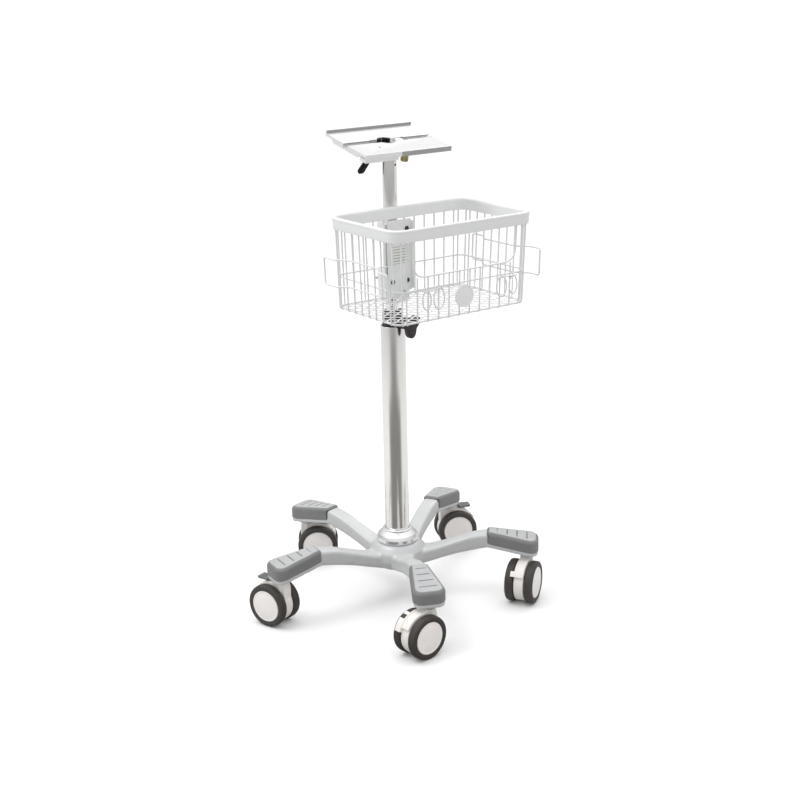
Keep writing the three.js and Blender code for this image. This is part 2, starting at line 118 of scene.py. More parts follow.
def inset(outline, d):
    """A closed outline, anticlockwise, moved inwards by d."""
    out = []
    n = len(outline)
    for i, p in enumerate(outline):
        e1 = (p - outline[i - 1]).normalized()
        e2 = (outline[(i + 1) % n] - p).normalized()
        n1 = Vector((-e1.y, e1.x))
        m = (n1 + Vector((-e2.y, e2.x))).normalized()
        out.append(p + m * (d / max(0.3, m.dot(n1))))
    return out


def loft(rings, loop=False, caps=True):
    """Skin over rings that have the same number of points."""
    n = len(rings[0])
    verts = [p for ring in rings for p in ring]
    faces = []
    for j in range(len(rings) if loop else len(rings) - 1):
        a, b = j * n, ((j + 1) % len(rings)) * n
        faces += [(a + i, a + (i + 1) % n, b + (i + 1) % n, b + i) for i in range(n)]
    if caps and not loop:
        faces += [tuple(range(n)), tuple(range((len(rings) - 1) * n, len(rings) * n))]
    return Shape(verts, faces)


def stepped(outline, levels):
    """Skin over the outline, which at each height z is moved inwards by d."""
    return loft([[(p.x, p.y, z) for p in inset(outline, d)] for z, d in levels])


def prism(outline, z0, z1, edge=0.0, steps=3):
    """Flat outline pulled up, with both rims rounded by edge."""
    outline = [Vector(p) for p in outline]
    arc = [k / steps * math.pi / 2 for k in range(steps + 1)] if edge else [math.pi / 2]
    low_rims = [(z0 + edge * (1 - math.cos(a)), edge * (1 - math.sin(a))) for a in arc]
    high_rims = [(z0 + z1 - z, d) for z, d in reversed(low_rims)]
    return stepped(outline, low_rims + high_rims)


def rectangle(x0, x1, y0, y1, corner=0.0, steps=4):
    plan = [(x0, y0), (x1, y0), (x1, y1), (x0, y1)]
    return rounded(plan, corner, steps) if corner else plan


def circle(radius, sides=60):
    return [polar(radius, 360 * k / sides) for k in range(sides)]


def block(x0, x1, y0, y1, z0, z1, edge=0.0, corner=0.0):
    return prism(rectangle(x0, x1, y0, y1, corner), z0, z1, edge)


def lathe(profile, segments=48):
    """Profile of (radius, height) turned about Z: closed on itself unless it starts on the axis."""
    verts, rows = [], []
    for r, z in profile:
        if r < 1e-6:
            rows.append([len(verts)])
            verts.append((0, 0, z))
        else:
            rows.append(list(range(len(verts), len(verts) + segments)))
            verts += [(*polar(r, 360 * k / segments), z) for k in range(segments)]
    faces = []
    pairs = list(zip(rows, rows[1:]))
    if len(rows[0]) > 1:
        pairs.append((rows[-1], rows[0]))
    for a, b in pairs:
        for k in range(segments):
            quad = [a[k % len(a)], a[(k + 1) % len(a)], b[(k + 1) % len(b)], b[k % len(b)]]
            faces.append(tuple(dict.fromkeys(quad)))
    return Shape(verts, faces)


def turned(profile, radius=0.0, segments=48, steps=3):
    """Lathe work whose profile corners are rounded."""
    axis = profile[0][0] < 1e-6
    pts = rounded(profile, radius, steps, closed=not axis) if radius else profile
    return lathe([tuple(p) for p in pts], segments)


def rod(radius, z0, z1, edge=0.0, segments=32):
    return turned([(0, z0), (radius, z0), (radius, z1), (0, z1)], edge, segments)


def tube(path, radius, sides=8, closed=False, thick=1.0, roll=0.0):
    """Round or flattened wire along a line of points."""
    pts = [Vector(p) for p in path]
    n = len(pts)
    tangents, normals = [], []
    for i, p in enumerate(pts):
        after = pts[(i + 1) % n] - p if closed or i + 1 < n else Vector((0, 0, 0))
        before = p - pts[i - 1] if closed or i > 0 else Vector((0, 0, 0))
        t = (after.normalized() + before.normalized()).normalized()
        upright_seed = Vector((0, 0, 1)) if abs(t.z) < 0.9 else Vector((1, 0, 0))
        seed = normals[-1] if normals else upright_seed
        normals.append((seed - t * seed.dot(t)).normalized())
        tangents.append(t)
    slip = 0.0
    if closed:
        last = normals[-1] - tangents[0] * normals[-1].dot(tangents[0])
        slip = math.atan2(tangents[0].cross(normals[0]).dot(last), normals[0].dot(last))
    rings = []
    for i, p in enumerate(pts):
        side = tangents[i].cross(normals[i])
        ring = []
        for k in range(sides):
            a = 2 * math.pi * k / sides
            u, v = math.cos(a), math.sin(a) * thick
            spin = math.radians(roll) - slip * i / n
            u, v = u * math.cos(spin) - v * math.sin(spin), u * math.sin(spin) + v * math.cos(spin)
            ring.append(p + (side * u + normals[i] * v) * radius)
        rings.append(ring)
    return loft(rings, loop=closed)


def summed(shapes):
    total = Shape()
    for s in shapes:
        total = total + s
    return total


# ---------------------------------------------------------------- solid operations
def as_object(shape):
    mesh = bpy.data.meshes.new("work")
    bm = bmesh.new()
    verts = [bm.verts.new(v) for v in shape.verts]
    for f in shape.faces:
        bm.faces.new([verts[i] for i in f])
    bmesh.ops.remove_doubles(bm, verts=bm.verts, dist=1e-3)
    bmesh.ops.recalc_face_normals(bm, faces=bm.faces)
    bm.to_mesh(mesh)
    bm.free()
    ob = bpy.data.objects.new("work", mesh)
    bpy.context.scene.collection.objects.link(ob)
    return ob


def harvested(ob, *helpers):
    """The modified mesh of a work object as a Shape; the work objects go."""
    bpy.context.view_layer.update()
    done = ob.evaluated_get(bpy.context.evaluated_depsgraph_get())
    mesh = done.to_mesh()
    shape = Shape([v.co.copy() for v in mesh.vertices], [tuple(p.vertices) for p in mesh.polygons])
    done.to_mesh_clear()
    for o in (ob, *helpers):
        data = o.data
        bpy.data.objects.remove(o)
        bpy.data.meshes.remove(data)
    return shape


def combined(shape, other, operation):
    a, b = as_object(shape), as_object(other)
    m = a.modifiers.new("op", "BOOLEAN")
    m.operation, m.object, m.solver = operation, b, "EXACT"
    return harvested(a, b)


def carved(shape, *cutters):
    for c in cutters:
        shape = combined(shape, c, "DIFFERENCE")
    return shape


def united(shape, *others):
    for o in others:
        shape = combined(shape, o, "UNION")
    return shape


def fused(shape, voxel, smoothing):
    """Overlapping solids melted into one skin with soft inner corners, as cast or moulded."""
    ob = as_object(shape)
    m = ob.modifiers.new("skin", "REMESH")
    m.mode, m.voxel_size = "VOXEL", voxel
    m = ob.modifiers.new("soft", "SMOOTH")
    m.factor, m.iterations = 0.5, smoothing
    return harvested(ob)


def piece(name, shape, mat, body, replaces=(), sharp=35.0, bevel=0.0):
    """A shown mesh that rides on a CAD body."""
    ob = as_object(shape)
    ob.name = ob.data.name = name
    ob.data.transform(Matrix.Translation(POLE) @ Matrix.Scale(MM, 4))
    ob.data.shade_smooth()
    ob.data.set_sharp_from_angle(angle=math.radians(sharp))
    ob.data.materials.append(MATERIALS[mat])
    if bevel:
        m = ob.modifiers.new("edges", "BEVEL")
        m.width, m.segments, m.limit_method = bevel * MM, 2, "ANGLE"
        m.angle_limit, m.harden_normals = math.radians(sharp), True
    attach(ob, body)
    if replaces:
        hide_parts(*replaces)
    return ob


# ---------------------------------------------------------------- materials
def mix(nodes, links, factor, a, b):
    node = nodes.new("ShaderNodeMix")
    node.data_type = "RGBA"
    links.new(factor, node.inputs["Factor"])
    for socket, value in ((node.inputs[6], a), (node.inputs[7], b)):
        if isinstance(value, bpy.types.NodeSocket):
            links.new(value, socket)
        else:
            socket.default_value = (*value, 1)
    return node.outputs[2]


def math_node(nodes, links, operation, *values):
    """Result of a Math node fed by sockets and numbers."""
    node = nodes.new("ShaderNodeMath")
    node.operation = operation
    for socket, value in zip(node.inputs, values):
        if isinstance(value, bpy.types.NodeSocket):
            links.new(value, socket)
        else:
            socket.default_value = value
    return node.outputs[0]


def spread(nodes, links, value, from_lo, from_hi, to_lo, to_hi):
    node = nodes.new("ShaderNodeMapRange")
    links.new(value, node.inputs["Value"])
    for key, number in zip(("From Min", "From Max", "To Min", "To Max"),
                           (from_lo, from_hi, to_lo, to_hi)):
        node.inputs[key].default_value = number
    return node.outputs["Result"]


def material(
    name, colour, rough, metal=0.0, tone=0.06, patch=45, grain=1400, bump=0.05, depth=0.0002,
    stretch=(1, 1, 1), wear=0.0, worn=None, anisotropy=0.0, coat=0.0, speculars=0.5, smudge=0.12,
    speckle=0.0, ruled=None,
):
    """Procedural finish: colour that drifts in patches, fine grain in the roughness and bump,
    smudges, worn edges. Patch and grain are noise scales over the frame's metres."""
    mat = bpy.data.materials.new(name)
    mat.use_nodes = True
    nodes, links = mat.node_tree.nodes, mat.node_tree.links
    shader = nodes["Principled BSDF"]
    coords = nodes.new("ShaderNodeTexCoord").outputs["Object"]
    mapping = nodes.new("ShaderNodeMapping")
    mapping.inputs["Scale"].default_value = stretch
    links.new(coords, mapping.inputs["Vector"])

    def noise(vector, scale, detail=3.0, distortion=0.0):
        node = nodes.new("ShaderNodeTexNoise")
        node.inputs["Scale"].default_value = scale
        node.inputs["Detail"].default_value = detail
        node.inputs["Distortion"].default_value = distortion
        links.new(vector, node.inputs["Vector"])
        return node.outputs["Fac"]

    broad = noise(coords, patch, 4.0, 0.4)
    fine = noise(mapping.outputs["Vector"], grain)
    dark = tuple(c * (1 - tone) for c in colour)
    light = tuple(min(1.0, c * (1 + tone)) for c in colour)
    shade = mix(nodes, links, spread(nodes, links, broad, 0.3, 0.7, 0, 1), dark, light)
    if speckle:
        dots = spread(nodes, links, noise(coords, grain * 0.7, 1.0), 0.62, 0.72, 0, speckle)
        shade = mix(nodes, links, dots, shade, tuple(c * 0.45 for c in colour))
    if wear:
        edge = nodes.new("ShaderNodeNewGeometry").outputs["Pointiness"]
        rubbed = spread(nodes, links, edge, 0.52, 0.6, 0, wear)
        shade = mix(nodes, links, rubbed, shade, worn or light)
    if ruled:
        shade = ruled(nodes, links, coords, shade)
    links.new(shade, shader.inputs["Base Color"])
    film = noise(coords, patch * 3.1, 5.0, 1.2)
    smear = spread(nodes, links, film, 0.35, 0.7, rough * (1 - smudge), rough * (1 + smudge))
    grainy = math_node(nodes, links, "MULTIPLY_ADD", fine, rough * 0.3, smear)
    links.new(math_node(nodes, links, "SUBTRACT", grainy, rough * 0.15), shader.inputs["Roughness"])
    relief = nodes.new("ShaderNodeBump")
    relief.inputs["Strength"].default_value = bump
    relief.inputs["Distance"].default_value = depth
    links.new(fine, relief.inputs["Height"])
    links.new(relief.outputs["Normal"], shader.inputs["Normal"])
    shader.inputs["Metallic"].default_value = metal
    shader.inputs["Anisotropic"].default_value = anisotropy
    shader.inputs["Coat Weight"].default_value = coat
    shader.inputs["Coat Roughness"].default_value = 0.12
    shader.inputs["Specular IOR Level"].default_value = speculars
    return mat


label_lo, label_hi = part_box("label_plate")


def ruled_lines(nodes, links, coords, shade):
    """Plain printed rules across the label, with no lettering."""
    split = nodes.new("ShaderNodeSeparateXYZ")
    links.new(coords, split.inputs[0])
    wave = math_node(nodes, links, "PINGPONG", split.outputs["Z"], 0.003)
    line = spread(nodes, links, wave, 0.0008, 0.0012, 1, 0)
    middle, reach = (label_lo.x + label_hi.x) / 2, (label_hi.x - label_lo.x) * 0.42
    across = math_node(nodes, links, "COMPARE", split.outputs["X"], middle, reach)
    printed = math_node(nodes, links, "MULTIPLY", line, across)
    return mix(nodes, links, printed, shade, (0.36, 0.37, 0.35))


MATERIALS = {
    "casting": material("casting", (0.585, 0.59, 0.595), 0.38, 0.15, tone=0.03, grain=700,
                        bump=0.12, wear=0.4, worn=(0.8, 0.8, 0.8)),
    "leg_cover": material("leg_cover", (0.19, 0.195, 0.19), 0.5, tone=0.07, grain=1900, bump=0.18,
                          wear=0.35, worn=(0.24, 0.24, 0.24)),
    # top panel colour: partly two-tone plastic, partly painted light, a lit copy of the grey cover
    # plastic
    "cover_top_tone_and_light": material("cover_top_tone_and_light", (0.44, 0.45, 0.455), 0.36, tone=0.04, grain=1900, bump=0.14,
                          wear=0.3, worn=(0.58, 0.58, 0.58)),
    "chrome": material("chrome", (0.84, 0.845, 0.85), 0.24, 1.0, tone=0.02, grain=500, bump=0.006,
                       smudge=0.2),
    "column_steel": material("column_steel", (0.86, 0.85, 0.835), 0.13, 1.0, tone=0.02, grain=900,
                             stretch=(1, 1, 0.015), bump=0.001, smudge=0.1),
    "outer_steel": material("outer_steel", (0.88, 0.865, 0.845), 0.2, 1.0, tone=0.015, grain=300,
                            stretch=(1, 1, 0.015), bump=0.001, smudge=0.08),
    "dark_plastic": material("dark_plastic", (0.035, 0.032, 0.033), 0.5, tone=0.12, grain=1600,
                             bump=0.2, wear=0.3, worn=(0.09, 0.085, 0.085), speculars=0.35),
    "aluminium": material("aluminium", (0.80, 0.80, 0.80), 0.34, 0.35, tone=0.015, grain=1100,
                          stretch=(0.03, 1, 1), bump=0.02, smudge=0.06, wear=0.3,
                          worn=(0.95, 0.95, 0.95)),
    # painted shade: a dark grey for thin sheets laid where the deck's lips and slots are in shadow
    "painted_shade_grey": material("painted_shade_grey", (0.33, 0.325, 0.32), 0.4, 0.5, tone=0.03, grain=1100,
                          stretch=(0.03, 1, 1), bump=0.02, wear=0.3, worn=(0.5, 0.5, 0.5)),
    "steel": material("steel", (0.55, 0.555, 0.56), 0.25, 1.0, tone=0.05, grain=900, bump=0.05,
                      wear=0.4, worn=(0.75, 0.75, 0.75)),
    "wire_coat": material("wire_coat", (0.80, 0.81, 0.805), 0.4, 0.05, tone=0.04, grain=1800,
                          bump=0.1, speckle=0.08),
    "rim_plastic": material("rim_plastic", (0.86, 0.865, 0.865), 0.42, tone=0.02, patch=18,
                            grain=1700, bump=0.1, wear=0.25, worn=(0.93, 0.93, 0.93), speckle=0.03),
    "label": material("label", (0.80, 0.81, 0.775), 0.45, tone=0.03, grain=1200, bump=0.03,
                      ruled=ruled_lines),
    "black_plastic": material("black_plastic", (0.003, 0.0026, 0.0024), 0.55, tone=0.15, grain=1700,
                              bump=0.2, wear=0.2, worn=(0.012, 0.012, 0.012), speculars=0.12),
    "brass": material("brass", (0.42, 0.36, 0.17), 0.3, 1.0, tone=0.12, patch=160, grain=1100,
                      bump=0.08, wear=0.4, worn=(0.7, 0.62, 0.36)),
    "white_plastic": material("white_plastic", (0.90, 0.865, 0.83), 0.38, tone=0.03, patch=30,
                              grain=1800, bump=0.1, wear=0.2, worn=(0.95, 0.93, 0.91)),
    "hub": material("hub", (0.97, 0.925, 0.90), 0.34, tone=0.03, patch=30, grain=1800, bump=0.06),
    "wheel": material("wheel", (0.050, 0.044, 0.040), 0.62, tone=0.16, patch=70, grain=1500,
                      bump=0.3, wear=0.3, worn=(0.11, 0.1, 0.095), speckle=0.1),
}
KEPT = {  # CAD nodes whose shape stays, with their finish
    "column_bush": "dark_plastic", "column_plug": "dark_plastic", "column_clamp": "aluminium",
    "clamp_bolt_1": "steel", "clamp_bolt_2": "steel", "tilt_yoke": "steel", "tilt_pin": "steel",
}
for node, finish in KEPT.items():
    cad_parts[node].data.materials.clear()
    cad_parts[node].data.materials.append(MATERIALS[finish])

# ---------------------------------------------------------------- base casting and leg covers
LEG_ANGLES = [-113 + 72 * i for i in range(5)]
KNEE, TIP, LEG_DROP = 200.0, 316.0, 16.2
SWIVEL_R = 290.0  # caster stems from the column axis


def sag(r):
    """How far the outer leg has dropped at radius r: flat at the knee, steeper, flat at the tip."""
    t = max(0.0, min(1.0, (r - KNEE) / (TIP - KNEE)))
    return LEG_DROP * (0.35 * t + 0.65 * t * t * (3 - 2 * t))


def settled(v):
    """A point of the level leg, dropped with the sag."""
    return Vector((v.x, v.y, v.z - sag(v.x)))


def section(r, half, z0, z1):
    """Outline of a leg's cross-section at radius r."""
    return [(r, p.x, p.y) for p in rectangle(-half, half, z0, z1, 7.5)]


LEG_STATIONS = [  # radius, half width, underside, top
    (26, 34, 77, 113), (48, 29, 80, 114), (66, 24, 84.5, 116.5), (86, 20.5, 90, 121.5),
    (110, 19, 98, 130), (135, 18.6, 105.5, 139), (160, 18.6, 112, 148), (184, 18.8, 117.5, 153),
    (196, 19, 120, 154.6), (203.6, 19, 121, 154.6),
]
arm = loft([section(*station) for station in LEG_STATIONS])
PAD_PLAN = rounded([(KNEE, -20), (TIP, -38), (TIP, 38), (KNEE, 20)], [8, 20, 20, 8], 6)

pad = prism(inset(PAD_PLAN, 1.0), 122, 132.8, 3).warped(settled)
boss = rod(17, 99, 116).moved(shift(SWIVEL_R))
spine = prism(rectangle(194, 302, -13, 13, 4, 5), 128, 148, 2).warped(settled)
hub = turned([(0, 76), (46, 76), (60, 84), (65, 98), (62, 116), (52, 129), (44, 134),
              (0, 134)], 5, 72)
star = fused(hub + summed((arm + pad + boss + spine).moved(turn("Z", a))
                          for a in LEG_ANGLES), 2.4, 7)
bores = rod(27.3, 90, 150, segments=48)
bores += summed(rod(6.4, 90, 126).moved(turn("Z", a), shift(SWIVEL_R)) for a in LEG_ANGLES)
piece("base_casting", carved(star, bores), "casting", "base", ["base_spider"], sharp=50)

# covers: a hollow roof open at the knee, and a panel with four slots on top, lighter grey than the
# walls: partly two-tone plastic, partly painted light falling on the top
WALL = 2.5
cover_levels = [(133.2, 0.0), (150, 0.0)]
cover_levels += [(151 + 8 * math.sin(a), 6.5 * (1 - math.cos(a)))
                 for a in (0.25, 0.6, 0.95, 1.25, 1.5708)]
roof = stepped(PAD_PLAN, cover_levels)
cavity = stepped(PAD_PLAN, [(130, WALL), (151, WALL), (156, 6.8)])
knee_gap = prism(rectangle(190, 204.6, -22, 22, 1, 5), 120, 155.4)
cover = carved(roof, cavity, knee_gap)
slots = [
    prism(rectangle(r - 1.5, r + 1.5, -w, w, 1.45), 158.6, 164)
    for r, w in ((KNEE + 24 + 22 * k, 11.5 + 2.6 * k) for k in range(4))
]
panel = carved(prism(inset(PAD_PLAN, 6.2), 157.4, 160.4, 1.2), summed(slots))
for i, a in enumerate(LEG_ANGLES):
    spot = turn("Z", a)
    piece(f"leg_cover_{i + 1}_shell", cover.warped(settled).moved(spot), "leg_cover", "base",
          [f"leg_cover_{i + 1}"], sharp=40)
    piece(f"leg_cover_{i + 1}_top", panel.warped(settled).moved(spot), "cover_top_tone_and_light", "base",
          sharp=40, bevel=0.35)

# ---------------------------------------------------------------- column
foot_ring = [(27.4, 134.3), (45, 134.3), (46.5, 138), (46, 144), (42.5, 151), (37, 156.5),
             (33.5, 159.5), (33, 163), (31.5, 165.2), (27.4, 165.2)]
piece("foot_ring", turned(foot_ring, 1.2, 96), "chrome", "base", ["base_collar"], sharp=60)
OUTER_R, INNER_R, TUBE_WALL, TUBE_TOP = 27.0, 15.0, 2.5, 630.0


def pipe(radius, z0, z1, edge, segments):
    bore = radius - TUBE_WALL
    return turned([(bore, z0), (radius, z0), (radius, z1), (bore, z1)], edge, segments)


outer_tube = pipe(OUTER_R, 90.4, TUBE_TOP, 0.6, 96)
piece("outer_tube", outer_tube, "outer_steel", "base", ["lower_column"])
inner_tube = pipe(INNER_R, 400, 983, 0.5, 64)
pin_hole = rod(2.7, 8, 22, segments=24).moved(turn("Z", 20), shift(z=972), turn("X", 90))
piece("inner_tube", carved(inner_tube, pin_hole), "column_steel", "mast", ["upper_column"])

collar = turned([(15.4, 630.3), (22.5, 630.3), (22.5, 657), (19.8, 663.6), (15.4, 663.6)], 1.0, 64)
AIM = [turn("Z", -80), shift(z=637), turn("Y", 90)]  # along the height knob, outwards
boss_out = rod(11, 20, 37.6, 1.5, 40).moved(*AIM)
stud_bore = rod(4.3, 14, 44, segments=24).moved(*AIM)
round_tube = rod(27.4, 610, 630.3, segments=64)
collar_shape = carved(united(collar, boss_out), round_tube, stud_bore,
                      rod(15.4, 610, 680, segments=64))
piece("clamp_collar_body", collar_shape, "dark_plastic", "base", ["clamp_collar"],
      sharp=40, bevel=0.4)
lobes = [Vector(polar(22 + 6 * math.cos(math.radians(3 * a)), a)) for a in range(0, 360, 6)]
knob_head = united(prism(lobes, 45.2, 60.4, 4, 4), rod(10, 38.4, 49, 1), rod(8.5, 57, 61.2, 1.2),
                   rod(4, 16, 42))
piece("height_knob_head", knob_head.moved(*AIM), "dark_plastic", "height_knob",
      ["height_knob"], sharp=45)

# ---------------------------------------------------------------- basket
BX, BACK_Y = 4.5, -24.0
HX, HY, CORNER, TAPER = 169.0, 112.0, 25.0, 6.0
FLOOR_Z, RING_Z, U_Z, U_HALF = 700.0, 765.0, 790.0, 129.0
RIM_Z0, RIM_Z1 = 862.0, 887.0
BADGE_Z, LOOP_Z = 738, 742
WIRE = 1.7
SIDE_TURN = [(1, 0, 0, 1), (0, -1, 1, 0), (-1, 0, 0, -1), (0, 1, -1, 0)]


def wall(side, u, z):
    """Point on the tapered basket wall: side 0 front, 1 right, 2 back, 3 left; u runs -1 to 1
    along the straight part and on to 2 at the middle of the corner."""
    k = TAPER * (RIM_Z0 - z) / (RIM_Z0 - FLOOR_Z)
    hx, hy, r = HX - k, HY - k / 2, CORNER - k / 2
    along, depth = (hx - r, hy) if side % 2 == 0 else (hy - r, hx)
    if abs(u) <= 1:
        px, py = u * along, -depth
    else:
        a = math.radians((abs(u) - 1) * 45)
        px, py = math.copysign(along + r * math.sin(a), u), -depth + r * (1 - math.cos(a))
    t = SIDE_TURN[side]
    return Vector((BX + t[0] * px + t[1] * py, BACK_Y - HY + k / 2 + t[2] * px + t[3] * py, z))


def post(side, u, z0, z1):
    """Upright wire whose foot curls in under the floor."""
    path = [wall(side, u, z0 + (z1 - z0) * k / 6) for k in range(7)]
    centre = Vector((BX, BACK_Y - HY, path[0].z))
    inward = (centre - path[0]).normalized()
    foot = [path[0] + inward * 4.0 + Vector((0, 0, -2.0)),
            path[0] + inward * 1.2 + Vector((0, 0, -1.0))]
    return tube(foot + path, WIRE, 8)


def hoop(z, grow=0.0):
    points = []
    for side in range(4):
        for u in (-1.8, -1.55, -1.3, -1, -0.5, 0, 0.5, 1, 1.3, 1.55, 1.8, 2.0):
            p = wall(side, u, z)
            out = Vector((p.x - BX, p.y - BACK_Y + HY, 0)).normalized()
            points.append(p + out * grow)
    return points


STRAIGHT = HX - CORNER
posts = {}
for side, count in ((0, 12), (1, 8), (2, 12), (3, 8)):
    places = [-1 + 2 * k / (count - 1) for k in range(count)] + [-1.55, 1.55]
    wires = []
    for u in places:
        in_front_gap = side == 0 and abs(u) < U_HALF / STRAIGHT
        wires.append(post(side, u, FLOOR_Z, (U_Z - 0.5) if in_front_gap else RIM_Z0 + 4))
    posts[side] = summed(wires)
u_line = [(-U_HALF, RIM_Z0 + 4), (-U_HALF, U_Z), (U_HALF, U_Z), (U_HALF, RIM_Z0 + 4)]
u_path = rounded([wall(0, x / STRAIGHT, z) + Vector((0, -1.2, 0)) for x, z in u_line], 28, 9,
                 closed=False)
posts[0] += tube(u_path, WIRE + 0.1, 8)
for side, name in enumerate(("front", "right", "back", "left")):
    piece(f"basket_{name}_wires", posts[side], "wire_coat", "mast", [f"basket_{name}"], sharp=70)
piece("basket_ring_floor", tube(hoop(FLOOR_Z, -2.6), 2.1, 8, closed=True), "wire_coat",
      "mast", sharp=70)
piece("basket_ring_middle", tube(hoop(RING_Z, -2.6), WIRE, 8, closed=True), "wire_coat",
      "mast", sharp=70)

# expanded-metal floor: wavy strands that touch at their crests
PITCH_X, PITCH_Y = 34.0, 12.0
CREST = 0.97  # 1 would make the waves straight zigzags
floor_hx, floor_hy = HX - TAPER - 3.2, HY - TAPER / 2 - 3.2
floor_cy = BACK_Y - HY + TAPER / 2
FLOOR_R = CORNER - TAPER / 2


def on_floor(x, y):
    dx, dy = abs(x) - (floor_hx - FLOOR_R), abs(y - floor_cy) - (floor_hy - FLOOR_R)
    inside = dx <= FLOOR_R and dy <= FLOOR_R and (min(dx, dy) <= 0 or math.hypot(dx, dy) <= FLOOR_R)
    return inside and not (abs(x) < 41 and y > -35)


strands = []
rows = int(floor_hy / PITCH_Y) + 1
for row in range(-rows, rows + 1):
    run = []
    steps = int(2 * floor_hx / 2.8)
    for k in range(steps + 1):
        x = -floor_hx + 2 * floor_hx * k / steps
        phase = 2 * math.pi * x / PITCH_X + math.pi * row
        crest = math.asin(CREST * math.sin(phase)) / math.asin(CREST)
        y = floor_cy + row * PITCH_Y + 5.1 * crest
        if on_floor(x, y):
            run.append((BX + x, y, FLOOR_Z - 0.2 + 0.7 * crest))
        if (not on_floor(x, y) or k == steps) and len(run) > 1:
            strands.append(tube(run, 1.9, 6, thick=0.55, roll=14))
            run = []
piece("basket_mesh_floor", summed(strands), "wire_coat", "mast", ["basket_floor"], sharp=60)

rim_line = [(0.2, RIM_Z0), (5.2, RIM_Z0 + 0.6), (6.2, RIM_Z1 - 7), (7.2, RIM_Z1 - 2.2),
            (6.0, RIM_Z1), (-2.2, RIM_Z1), (-4, RIM_Z1 - 3), (-3.2, RIM_Z0 + 1.0)]
rim_profile = rounded(rim_line, [1.2, 1.6, 3, 1.8, 1.6, 1.8, 3, 1.2], 4)
rim_rings = []
for p in hoop(RIM_Z0):
    cx = max(-(HX - CORNER), min(HX - CORNER, p.x - BX)) + BX
    cy = max(-(HY - CORNER), min(HY - CORNER, p.y - BACK_Y + HY)) + BACK_Y - HY
    out = Vector((p.x - cx, p.y - cy, 0)).normalized()
    rim_rings.append([Vector((p.x, p.y, 0)) + out * q.x + Vector((0, 0, q.y)) for q in rim_profile])
piece("basket_rim_band", loft(rim_rings, loop=True), "rim_plastic", "mast",
      ["basket_rim"], sharp=50)

for s, name in ((-1, "left"), (1, "right")):
    plan = [(22, -30), (22, -66), (2, -92), (2, -196), (22, -218), (22, -250)]
    at = {z: [(BX + s * (HX - TAPER * (RIM_Z0 - z) / (RIM_Z0 - FLOOR_Z) + 2.6 + o), y, z)
              for o, y in plan]
          for z in (807, 752)}
    loop = rounded(at[807] + at[752][::-1], [5, 14, 12, 12, 14, 5] * 2, 6)
    piece(f"cleat_{name}_wire", tube(loop, WIRE + 0.1, 8, closed=True), "wire_coat", "mast",
          [f"cleat_{name}"], sharp=70)

badge = turned([(0, 0), (22.2, 0), (23, 1.2), (23, 2.8), (22, 3.8), (20.2, 3.6), (19, 3.1),
                (11, 4.1), (0, 4.4)], 0.5, 72)
face = wall(0, 0, BADGE_Z).y
piece("front_badge_disc", badge.moved(shift(1, face - 2.2, BADGE_Z), turn("X", 90)), "rim_plastic",
      "mast", ["front_badge"], sharp=60)
for s, name in ((-1, "left"), (1, "right")):
    y, middle = wall(0, 0, LOOP_Z).y - WIRE - 1.7, 3 if s > 0 else 33
    ovals = [
        tube([(middle + s * cx + rx * math.cos(t * math.pi / 18), y,
               LOOP_Z + rz * math.sin(t * math.pi / 18))
              for t in range(36)], 1.5, 8, closed=True)
        for cx, rx, rz in ((94, 13, 21), (124, 10, 19))
    ]
    bar = tube([(middle + s * 84, y, 761), (middle + s * 134, y, 761)], 1.4, 8)
    piece(f"cable_loop_{name}_wire", summed([*ovals, bar]), "wire_coat", "mast",
          [f"cable_loop_{name}"], sharp=70)

# ---------------------------------------------------------------- basket bracket
PLATE_Y = -26.0
plate_plan = rounded([(-28, 684), (8, 684), (8, 708), (33, 708), (33, 860), (-28, 860)],
                     [3, 3, 2, 4, 4, 4], 4)
upright = [shift(0, PLATE_Y, 0), turn("X", 90)]
plate = prism(plate_plan, 0, 3, 0.5, 2)
SCREWS = [(20, 840), (-18, 730), (20, 730), (-18, 692)]
plate = carved(plate, summed(rod(2.8, -2, 6).moved(shift(x, z)) for x, z in SCREWS))
flange = block(30.4, 33, PLATE_Y - 12, PLATE_Y - 1, 712, 856, 0.8)
piece("bracket_plate", united(plate.moved(*upright), flange), "wire_coat", "mast",
      ["basket_bracket"], sharp=40)
for i, (x, z) in enumerate(SCREWS):
    head = turned([(0, 0), (5.2, 0), (5.0, 1.2), (3.8, 2.6), (0, 3.0)], 0.4, 32)
    head = carved(head, block(-3, 3, -0.55, 0.55, 1.7, 4), block(-0.55, 0.55, -3, 3, 1.7, 4))
    screw = united(head, rod(2.4, -10, 0.6))
    piece(f"bracket_screw_{i + 1}_head", screw.moved(shift(x, PLATE_Y - 3.3, z), turn("X", 90)),
          "dark_plastic", "mast", [f"bracket_screw_{i + 1}"], sharp=30)
card = prism(rectangle(-24, 24, 768, 804, 1.5), 3.3, 3.9, 0.15, 2)
piece("label_card", card.moved(*upright), "label", "mast", ["label_plate"])

# ---------------------------------------------------------------- head and docking platform
bearing = [(0, 946), (12.1, 946), (12.1, 983.4), (17.6, 983.4), (18.5, 984.4), (18.5, 986.2),
           (17.6, 986.8), (17.6, 988), (18.5, 988.6), (18.5, 990.4), (17.4, 991.8), (0, 991.8)]
piece("swivel_bearing", turned(bearing, 0.25, 72), "black_plastic", "head",
      ["swivel_collar"], sharp=35)

